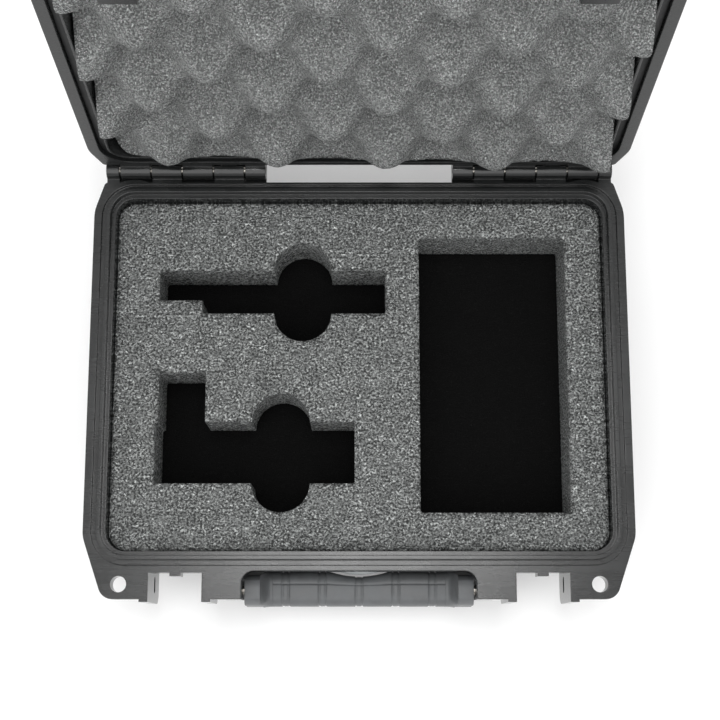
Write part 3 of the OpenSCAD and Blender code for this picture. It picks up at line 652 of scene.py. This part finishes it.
@dataclass
class FoamInlay:
    """Foam block that fills the base, with pockets cut right through it."""

    step: float = 1.5 * MM
    edge_radius: float = 0.8 * MM
    corner: float = 8.5 * MM
    pocket_corner: float = 1.0 * MM
    draft: float = 0.6 * MM
    ragged: float = 0.28 * MM
    ragged_grain: float = 650
    wall_band: float = 5 * MM
    scatter: float = 0.3
    scatter_grain: float = 900
    spacing: float = 0.6
    slot_width: float = 26.4 * MM
    slot_reach: float = 13 * MM
    boxes: list[tuple[Point, Point]] = field(default_factory=lambda: [
        ((-72.3 * MM, 27.9 * MM), (12.3 * MM, 48.4 * MM)),
        ((-92 * MM, 34.1 * MM), (-70.3 * MM, 48.4 * MM)),
        ((-92.5 * MM, -50.4 * MM), (-2 * MM, -22.4 * MM)),
        ((-91.2 * MM, -25 * MM), (-69.9 * MM, 0.3 * MM)),
        ((27.6 * MM, -63.6 * MM), (95 * MM, 63.9 * MM)),
    ])
    slots: list[tuple[float, Point]] = field(default_factory=lambda: [
        (-26 * MM, (27.9 * MM, 48.4 * MM)),
        (-35.4 * MM, (-50.4 * MM, -22.4 * MM)),
    ])

    def outlines(self) -> list[list[Point]]:
        """Draws the block's outline and those of its pockets, which may overlap.

        Returns:
            The outlines, with the block's own first.
        """
        low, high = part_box("base_foam")
        edge = rounded_box((low.x, low.y), (high.x, high.y), self.corner, self.step)
        cuts = [rounded_box(a, b, self.pocket_corner, self.step) for a, b in self.boxes]
        half = self.slot_width / 2
        for x, (front, back) in self.slots:
            cuts.append(rounded_box((x - half, front - self.slot_reach),
                                    (x + half, back + self.slot_reach), half - 1e-6, self.step))
        return [edge, *cuts]

    def loose_points(self, edges: KDTree, low: Vector, high: Vector) -> list[Vector]:
        """Points scattered over the top, clear of the outlines.

        Args:
            edges: A tree of the outlines' points.
            low: The block's lowest corner.
            high: The block's highest corner.

        Returns:
            The points, about a step apart.
        """
        columns = int((high.x - low.x) / self.step)
        rows = int((high.y - low.y) / self.step)
        found = []
        for j in range(1, rows):
            for i in range(1, columns):
                spot = Vector((low.x + (i + 0.5 * (j % 2)) * self.step, low.y + j * self.step, 0))
                shift = noise.noise_vector(spot * self.scatter_grain) * self.scatter * self.step
                spot += Vector((shift.x, shift.y, 0))
                if edges.find(spot)[2] > self.spacing * self.step:
                    found.append(spot)
        return found

    def build(self) -> bpy.types.Object:
        """Builds the block.

        Returns:
            The block's object.
        """
        low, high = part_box("base_foam")
        loops = self.outlines()
        tree = point_tree([(*p, 0) for loop in loops for p in loop])
        points = [Vector(p) for loop in loops for p in loop]
        points += [p.to_2d() for p in self.loose_points(tree, low, high)]
        faces, start = [], 0
        for loop in loops:
            faces.append(list(range(start, start + len(loop))))
            start += len(loop)
        spots, _, made, _, _, sources = delaunay_2d_cdt(points, [], faces, 0, 1e-7, True)
        kept = [f for f, source in zip(made, sources) if set(source) == {0}]
        piece = Piece("foam_inlay")
        self._fill(piece.mesh, spots, kept, low, high)
        inlay = piece.finish(Body.BASE, Finish.INLAY, "base_foam")
        return inlay

    def _fill(self, mesh: bmesh.types.BMesh, spots: Sequence[Vector], kept: Sequence[Sequence[int]],
              low: Vector, high: Vector) -> None:
        """Makes the top, the walls and the underside.

        Args:
            mesh: The mesh that receives them.
            spots: The flat points.
            kept: The flat triangles outside the pockets.
            low: The block's lowest corner.
            high: The block's highest corner.
        """
        used = sorted({i for f in kept for i in f})
        top = {i: mesh.verts.new((spots[i].x, spots[i].y, high.z)) for i in used}
        for f in kept:
            mesh.faces.new([top[i] for i in f])
        rim = [e for e in mesh.edges if len(e.link_faces) == 1]
        on_rim = list(dict.fromkeys(v for e in rim for v in e.verts))
        edge_tree = point_tree([v.co for v in on_rim])
        middle = (low + high) / 2
        half = (high - low) / 2

        def drift(co: Vector) -> Vector:
            """Raggedness of the cut at a point."""
            return self.ragged * noise.noise_vector(co * self.ragged_grain)

        for v in mesh.verts:
            gap = edge_tree.find(v.co)[2]
            inset = max(0.0, self.edge_radius - gap)
            drop = self.edge_radius - math.sqrt(max(0.0, self.edge_radius**2 - inset**2))
            v.co.z -= drop + abs(drift(v.co).z)
        rings = max(2, round((high.z - low.z) / self.step))
        below = {v: v for v in on_rim}
        for k in range(1, rings + 1):
            share = k / rings
            ring = {}
            for v in on_rim:
                z = v.co.z + (low.z - v.co.z) * share
                outer = (abs(v.co.x - middle.x) > half.x - self.wall_band or
                         abs(v.co.y - middle.y) > half.y - self.wall_band)
                inward = self.draft * share if outer else 0.0
                spot = Vector((v.co.x - math.copysign(inward, v.co.x),
                               v.co.y - math.copysign(inward, v.co.y), z))
                if not outer and k < rings:
                    shift = drift(spot)
                    spot += Vector((shift.x, shift.y, 0))
                ring[v] = mesh.verts.new(spot)
            for e in rim:
                a, b = e.verts
                mesh.faces.new((below[a], below[b], ring[b], ring[a]))
            below = ring
        last = {below[v] for v in on_rim}
        bottom = [e for e in mesh.edges if e.verts[0] in last and e.verts[1] in last]
        bmesh.ops.triangle_fill(mesh, edges=bottom, use_beauty=True)


@dataclass
class FoamPad:
    """Soft black pad under the inlay, whose top shows in the pockets."""

    step: float = 2.5 * MM
    corner: float = 8.2 * MM
    soft: float = 0.35 * MM
    soft_grain: float = 180
    spacing: float = 0.6

    def build(self) -> bpy.types.Object:
        """Builds the pad.

        Returns:
            The pad's object.
        """
        low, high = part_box("base_foam_pad")
        outline = rounded_box((low.x, low.y), (high.x, high.y), self.corner, self.step)
        piece = Piece("foam_pad")
        mesh = piece.mesh
        tree = point_tree([(*p, 0) for p in outline])
        points = [Vector(p) for p in outline]
        for j in range(1, int((high.y - low.y) / self.step)):
            for i in range(1, int((high.x - low.x) / self.step)):
                spot = Vector((low.x + i * self.step, low.y + j * self.step, 0))
                if tree.find(spot)[2] > self.spacing * self.step:
                    points.append(spot.to_2d())
        spots, _, made, _, _, sources = delaunay_2d_cdt(
            points, [], [list(range(len(outline)))], 0, 1e-7, True)
        kept = [f for f, source in zip(made, sources) if source]
        top = {i: mesh.verts.new((spots[i].x, spots[i].y, high.z)) for f in kept for i in f}
        for f in kept:
            mesh.faces.new([top[i] for i in f])
        for v in mesh.verts:
            v.co.z -= self.soft * (0.5 + 0.5 * noise.noise(v.co * self.soft_grain))
        rim = [e for e in mesh.edges if len(e.link_faces) == 1]
        down = bmesh.ops.extrude_edge_only(mesh, edges=rim)["geom"]
        for v in (g for g in down if isinstance(g, bmesh.types.BMVert)):
            v.co.z = low.z
        bmesh.ops.triangle_fill(
            mesh, edges=[g for g in down if isinstance(g, bmesh.types.BMEdge)
                         and all(abs(v.co.z - low.z) < 1e-9 for v in g.verts)], use_beauty=True)
        pad = piece.finish(Body.BASE, Finish.PAD, "base_foam_pad")
        return pad


@dataclass
class WavyLining:
    """Convoluted foam of the lid: crests and hollows on a diagonal grid."""

    rim: float = 59 * MM
    roof: float = 91 * MM
    width: float = 222.46 * MM
    depth: float = 160.06 * MM
    corner: float = 9 * MM
    pitch: float = 48.5 * MM
    height: float = 19 * MM
    reach: float = 11.1 * MM
    lean: float = 0.018
    closed_reach: float = 6.3 * MM
    shift: Point = (-12.4 * MM, -4.1 * MM)
    step: float = 1.25 * MM
    ragged: float = 0.35 * MM
    ragged_grain: float = 500
    ragged_lift: float = 0.4
    wall_rings: int = 14
    open_angle: float = -98.0

    def surface(self, x: float, y: float) -> float:
        """Works out the wavy face of the closed lid.

        Args:
            x: Where across the lid.
            y: Where along it.

        Returns:
            The face's height there.
        """
        turn = 2 * math.pi / self.pitch
        wave = math.cos(turn * (x - self.shift[0])) * math.cos(turn * (y - self.shift[1]))
        return self.rim - self.reach - self.lean * x + self.height / 2 * (1 - wave)

    def inside(self, x: float, y: float) -> Point:
        """Moves a point of the rectangle into the round corner that it lies in.

        Args:
            x: Where across the rectangle.
            y: Where along it.

        Returns:
            The point's place.
        """
        across = abs(x) - self.width / 2 + self.corner
        along = abs(y) - self.depth / 2 + self.corner
        if across <= 0 or along <= 0:
            return (x, y)
        share = max(across, along) / math.hypot(across, along)
        return (math.copysign(self.width / 2 - self.corner + across * share, x),
                math.copysign(self.depth / 2 - self.corner + along * share, y))

    def build(self) -> bpy.types.Object:
        """Builds the lining on the open lid.

        Returns:
            The lining's object.
        """
        piece = Piece("lid_lining")
        mesh = piece.mesh
        columns = round(self.width / self.step)
        rows = round(self.depth / self.step)
        grid: list[list[bmesh.types.BMVert]] = []
        for j in range(rows + 1):
            line = []
            for i in range(columns + 1):
                x, y = self.inside((i / columns - 0.5) * self.width, (j / rows - 0.5) * self.depth)
                spot = Vector((x, y, self.surface(x, y)))
                spot.z += self.ragged * (self.ragged_lift + noise.noise(spot * self.ragged_grain))
                line.append(mesh.verts.new(spot))
            grid.append(line)
        for j in range(rows):
            for i in range(columns):
                mesh.faces.new((grid[j][i], grid[j][i + 1], grid[j + 1][i + 1], grid[j + 1][i]))
        edge = (grid[0][:-1] + [line[-1] for line in grid[:-1]] + grid[-1][:0:-1] +
                [line[0] for line in grid[:0:-1]])
        above = edge
        for k in range(1, self.wall_rings + 1):
            share = k / self.wall_rings
            ring = [mesh.verts.new((v.co.x, v.co.y, v.co.z + (self.roof - v.co.z) * share))
                    for v in edge]
            for n in range(len(edge)):
                m = (n + 1) % len(edge)
                mesh.faces.new((above[n], above[m], ring[m], ring[n]))
            above = ring
        mesh.faces.new(above)
        hinge = joint_place("lid_hinge")
        for v in mesh.verts:
            v.co = turned_open(v.co, math.radians(self.open_angle), hinge)
        lining = piece.finish(Body.LID, Finish.LINING, "lid_foam")
        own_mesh(lining)
        return lining


# ---------- handle ----------


@dataclass
class Handle:
    """Rubber of the carry handle: a sleeve with bands round it, and shoulders up to the pivots."""

    back_reach: float = 2.4 * MM
    corner: float = 5 * MM
    band_pitch: float = 16.8 * MM
    bands: int = 5
    band_width: float = 2.8 * MM
    band_depth: float = 0.2 * MM
    line_width: float = 0.5 * MM
    line_depth: float = 0.55 * MM
    seam_place: float = 2.2 * MM
    seam_depth: float = 0.3 * MM
    scallop_width: float = 28 * MM
    scallop_depth: float = 2.4 * MM
    end_curve: float = 2.2 * MM
    end_length: float = 6 * MM
    lip: float = 0.35 * MM
    step: float = 0.4 * MM
    around: int = 132
    eye: float = 7.2 * MM
    fillet: float = 3.6 * MM
    arm_inner: float = 44 * MM
    arm_flare: float = 1.6
    crown: float = 0.8
    overlap: float = 1 * MM
    clearance: float = 0.3 * MM
    levels: int = 30
    crease: float = 50

    def __post_init__(self) -> None:
        """Reads the sleeve's place from the frame."""
        low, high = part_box("handle_grip")
        high.y += self.back_reach
        self.middle = (low + high) / 2
        self.half = (high - low) / 2

    def section(self) -> list[Vector]:
        """Draws the sleeve's section, a rounded rectangle.

        Returns:
            Points in Y and Z, evenly spread along it.
        """
        outline = rounded_box((-self.half.y, -self.half.z), (self.half.y, self.half.z),
                              self.corner, self.step)
        lengths = [0.0]
        for a, b in zip(outline, [*outline[1:], outline[0]]):
            lengths.append(lengths[-1] + math.dist(a, b))
        spread = []
        k = 0
        for i in range(self.around):
            want = lengths[-1] * i / self.around
            while lengths[k + 1] < want:
                k += 1
            share = (want - lengths[k]) / (lengths[k + 1] - lengths[k])
            a, b = outline[k], outline[(k + 1) % len(outline)]
            spread.append(Vector((0, a[0] + (b[0] - a[0]) * share, a[1] + (b[1] - a[1]) * share)))
        return spread

    def inset(self, x: float) -> float:
        """Works out the sleeve's bands and the lines beside them.

        Args:
            x: The station along the sleeve.

        Returns:
            How far the sleeve draws in there.
        """
        last = (self.bands - 1) / 2
        off = abs(x - self.band_pitch * max(-last, min(last, round(x / self.band_pitch))))
        beside = abs(off - self.band_width / 2)
        if beside < self.line_width:
            return self.band_depth + (self.line_depth - self.band_depth) * (
                1 - beside / self.line_width)
        return self.band_depth if off < self.band_width / 2 else 0.0

    def build(self) -> list[bpy.types.Object]:
        """Builds the sleeve and both shoulders."""
        return [self.sleeve(), self.shoulder(-1), self.shoulder(1)]

    def sleeve(self) -> bpy.types.Object:
        """Builds the sleeve.

        Returns:
            The sleeve's object.
        """
        piece = Piece("handle_sleeve")
        section = self.section()
        stations = round(2 * self.half.x / self.step)
        rings = []
        for s in range(stations + 1):
            x = self.half.x * (2 * s / stations - 1)
            end = max(0.0, 1 - (self.half.x - abs(x)) / self.end_length)
            drawn = self.inset(x) + self.lip * (1 - end**3)
            scallop = self.scallop_depth * max(0.0, 1 - (2 * x / self.scallop_width) ** 2)
            ring = []
            for p in section:
                y = p.y * (1 - drawn / self.half.y)
                z = p.z * (1 - drawn / self.half.z)
                y -= scallop * max(0.0, p.y / self.half.y)
                if z > 0 and abs(p.y - self.seam_place) < self.line_width / 2:
                    z -= self.seam_depth
                curve = self.end_curve * end * (1 - (p.y / self.half.y) ** 2)
                ring.append(piece.mesh.verts.new(
                    self.middle + Vector((x - math.copysign(curve, x), y, z))))
            rings.append(ring)
        loft(piece.mesh, rings)
        return piece.finish(Body.HANDLE, Finish.GRIP, "handle_grip", crease=self.crease)

    def grip_width(self, z: float) -> float:
        """Measures the sleeve's section.

        Args:
            z: The height above its middle.

        Returns:
            Half its depth there.
        """
        over = abs(z) - self.half.z + self.corner
        if over <= 0:
            return self.half.y
        return self.half.y - self.corner + math.sqrt(max(0.0, self.corner**2 - over**2))

    def arm_width(self, z: float, pivot_z: float) -> float:
        """Measures an arm, which narrows from the sleeve to the eye round its pivot.

        Args:
            z: The height above the sleeve's middle.
            pivot_z: The pivot's height.

        Returns:
            Half the arm's depth there.
        """
        start = self.half.z - self.corner
        if z <= start:
            return self.grip_width(z)
        if z >= pivot_z:
            return math.sqrt(max(0.0, self.eye**2 - (z - pivot_z) ** 2))
        share = (z - start) / (pivot_z - start)
        return self.eye + (self.half.y - self.eye) * (1 - share) ** self.arm_flare

    def shoulder(self, side: int) -> bpy.types.Object:
        """Builds the shoulder that wraps an arm.

        Args:
            side: -1 on the left and 1 on the right.

        Returns:
            The shoulder.
        """
        pivot = joint_place("handle_pivot")
        up = pivot.z - self.middle.z
        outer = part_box("handle_core")[1].x
        start = self.arm_inner - self.fillet - self.overlap
        piece = Piece(f"handle_shoulder_{'left' if side < 0 else 'right'}")
        rings = []
        stations = round((outer - start) / self.step)
        for s in range(stations + 1):
            x = start + (outer - start) * s / stations
            rise = min(1.0, max(0.0, (x - self.arm_inner + self.fillet) / self.fillet))
            rise = 1 - math.sqrt(1 - rise**2)
            right, left = [], []
            for k in range(self.levels + 1):
                share = 0.5 - 0.5 * math.cos(math.pi * k / self.levels)
                low_z = self.half.z * (2 * share - 1)
                high_z = -self.half.z + share * (up + self.crown * self.eye + self.half.z)
                z = low_z + (high_z - low_z) * rise
                width = (self.grip_width(low_z) * (1 - rise)
                         + self.arm_width(high_z, up) * rise) - self.clearance
                lean = min(1.0, max(0.0, high_z / up)) * rise * (pivot.y - self.middle.y)
                right.append((self.middle.y + lean + width, self.middle.z + z))
                left.append((self.middle.y + lean - width, self.middle.z + z))
            rings.append([piece.mesh.verts.new((side * x, y, z)) for y, z in right + left[::-1]])
        loft(piece.mesh, rings)
        return piece.finish(Body.HANDLE, Finish.GRIP, crease=self.crease)


# ---------- hinge ----------


@dataclass
class HingeShelf:
    """Ledge of the base behind and under both hinge banks, which closes the knuckles' windows."""

    inner: float = 43.2 * MM
    outer: float = 116.6 * MM
    front: float = 88 * MM
    back: float = 99.2 * MM
    bottom: float = 50.4 * MM
    top: float = 54.6 * MM
    corner: float = 2.4 * MM
    corner_step: float = 0.5 * MM
    step: float = 3 * MM
    crease: float = 40

    def build(self) -> list[bpy.types.Object]:
        """Builds the ledge of each bank.

        Returns:
            Both ledges.
        """
        ledges = []
        for side, name in ((-1, "left"), (1, "right")):
            piece = Piece(f"hinge_shelf_{name}")
            round_back = corner_arc((self.back - self.corner, self.bottom + self.corner),
                                    self.corner, 270, self.corner_step)
            outline = [(self.front, self.top), (self.front, self.bottom), *round_back,
                       (self.back, self.top)]
            count = round((self.outer - self.inner) / self.step)
            rings = []
            for i in range(count + 1):
                x = side * (self.inner + (self.outer - self.inner) * i / count)
                rings.append([piece.mesh.verts.new((x, y, z)) for y, z in outline])
            loft(piece.mesh, rings)
            ledges.append(piece.finish(Body.BASE, Finish.SHELL, crease=self.crease))
        return ledges


# ---------- moulded shells and fittings ----------


@dataclass
class Fittings:
    """The rigid parts, which keep their modelled shape and take a finish."""

    finishes: dict[Finish, tuple[str, ...]] = field(default_factory=lambda: {
        Finish.SHELL: ("base_shell",),
        Finish.LID: ("lid_shell",),
        # valve_body takes the valve finish, whose pale colour is a painted reflection.
        Finish.VALVE_REFLECTION: ("valve_body",),
        Finish.LATCH: ("latch_left", "latch_right", "trigger_left", "trigger_right", "handle_core"),
        Finish.STEEL: ("catch_bar_left", "catch_bar_right", "hinge_pin_left", "hinge_pin_right",
                       "handle_pin_left", "handle_pin_right", "latch_pin_left", "latch_pin_right",
                       "trigger_pin_left", "trigger_pin_right"),
        Finish.SPRING: ("trigger_spring_left", "trigger_spring_right"),
        Finish.SEAL: ("gasket", "valve_seal"),
        Finish.FILM: ("valve_membrane",),
    })

    def dress(self) -> None:
        """Gives each rigid node its finish."""
        for finish, nodes in self.finishes.items():
            for name in nodes:
                data = frame["nodes"][name].data
                data.materials.clear()
                data.materials.append(finish.material())
                LOG.info("%s: %s", name, finish.value.name)


# ---------- studio ----------


@dataclass
class Studio:
    """Pale floor, soft light and the camera above the case."""

    lens: float = 71.68
    camera_place: tuple[float, float, float] = (0.0004, -0.1216, 0.6938)
    camera_tilt: float = 11.24
    sensor: float = 36.0
    floor_size: float = 6.0
    floor_patch: float = 0.4
    floor_tone: float = 0.9
    floor_dip: float = 0.985
    floor_glow: float = 0.12
    sky: float = 0.82
    front_place: tuple[float, float, float] = (-0.25, -0.9, 1.7)
    front_size: float = 1.6
    front_power: float = 14.0
    top_place: tuple[float, float, float] = (0.0, 0.23, 2.2)
    top_size: float = 0.6
    top_power: float = 10.0

    def build(self) -> None:
        """Sets up the floor, the lights and the camera."""
        self._floor()
        self._light()
        self._camera()

    def _floor(self) -> None:
        """A pale, plain floor."""
        mesh = bmesh.new()
        bmesh.ops.create_grid(mesh, x_segments=4, y_segments=4, size=self.floor_size / 2)
        data = bpy.data.meshes.new("floor")
        mesh.to_mesh(data)
        mesh.free()
        paint = Paint("floor_paper", Roughness=0.9, Specular_IOR_Level=0.1,
                      Emission_Color=grey(1.0), Emission_Strength=self.floor_glow)
        paint.feed("Base Color", paint.mix(
            paint.cloud(self.floor_patch, 2.0), grey(self.floor_tone),
            grey(self.floor_tone * self.floor_dip)))
        data.materials.append(paint.material)
        floor = bpy.data.objects.new("floor", data)
        bpy.context.scene.collection.objects.link(floor)

    def _light(self) -> None:
        """Even light from all round, a broad lamp from the front and a softbox overhead."""
        world = bpy.data.worlds.new("studio")
        world.use_nodes = True
        world.node_tree.nodes["Background"].inputs["Color"].default_value = (1, 1, 1, 1)
        world.node_tree.nodes["Background"].inputs["Strength"].default_value = self.sky
        bpy.context.scene.world = world
        self._lamp("front_lamp", self.front_place, self.front_size, self.front_power)
        self._lamp("top_lamp", self.top_place, self.top_size, self.top_power)
        bpy.context.scene.view_settings.view_transform = "Standard"

    @staticmethod
    def _lamp(name: str, place: tuple[float, float, float], size: float, power: float) -> None:
        """Hangs a square lamp, turned to the case.

        Args:
            name: The lamp's name.
            place: Its middle.
            size: Its side in metres.
            power: Its power in watts.
        """
        lamp = bpy.data.lights.new(name, "AREA")
        lamp.shape = "SQUARE"
        lamp.size = size
        lamp.energy = power
        held = bpy.data.objects.new(name, lamp)
        held.location = place
        held.rotation_euler = (-Vector(place)).to_track_quat("-Z", "Y").to_euler()
        bpy.context.scene.collection.objects.link(held)

    def _camera(self) -> None:
        """The camera, nearly straight above the front of the case."""
        data = bpy.data.cameras.new("camera")
        data.lens = self.lens
        data.sensor_width = self.sensor
        camera = bpy.data.objects.new("camera", data)
        camera.location = self.camera_place
        camera.rotation_euler = (math.radians(self.camera_tilt), 0, 0)
        bpy.context.scene.collection.objects.link(camera)
        bpy.context.scene.camera = camera


def main() -> None:
    """Builds and dresses the case, in order."""
    logging.basicConfig(level=logging.INFO, format="%(name)s %(message)s")
    noise.seed_set(NOISE_SEED)
    Studio().build()
    Fittings().dress()
    FoamInlay().build()
    FoamPad().build()
    WavyLining().build()
    Handle().build()
    HingeShelf().build()


if __name__ == "__main__":
    main()
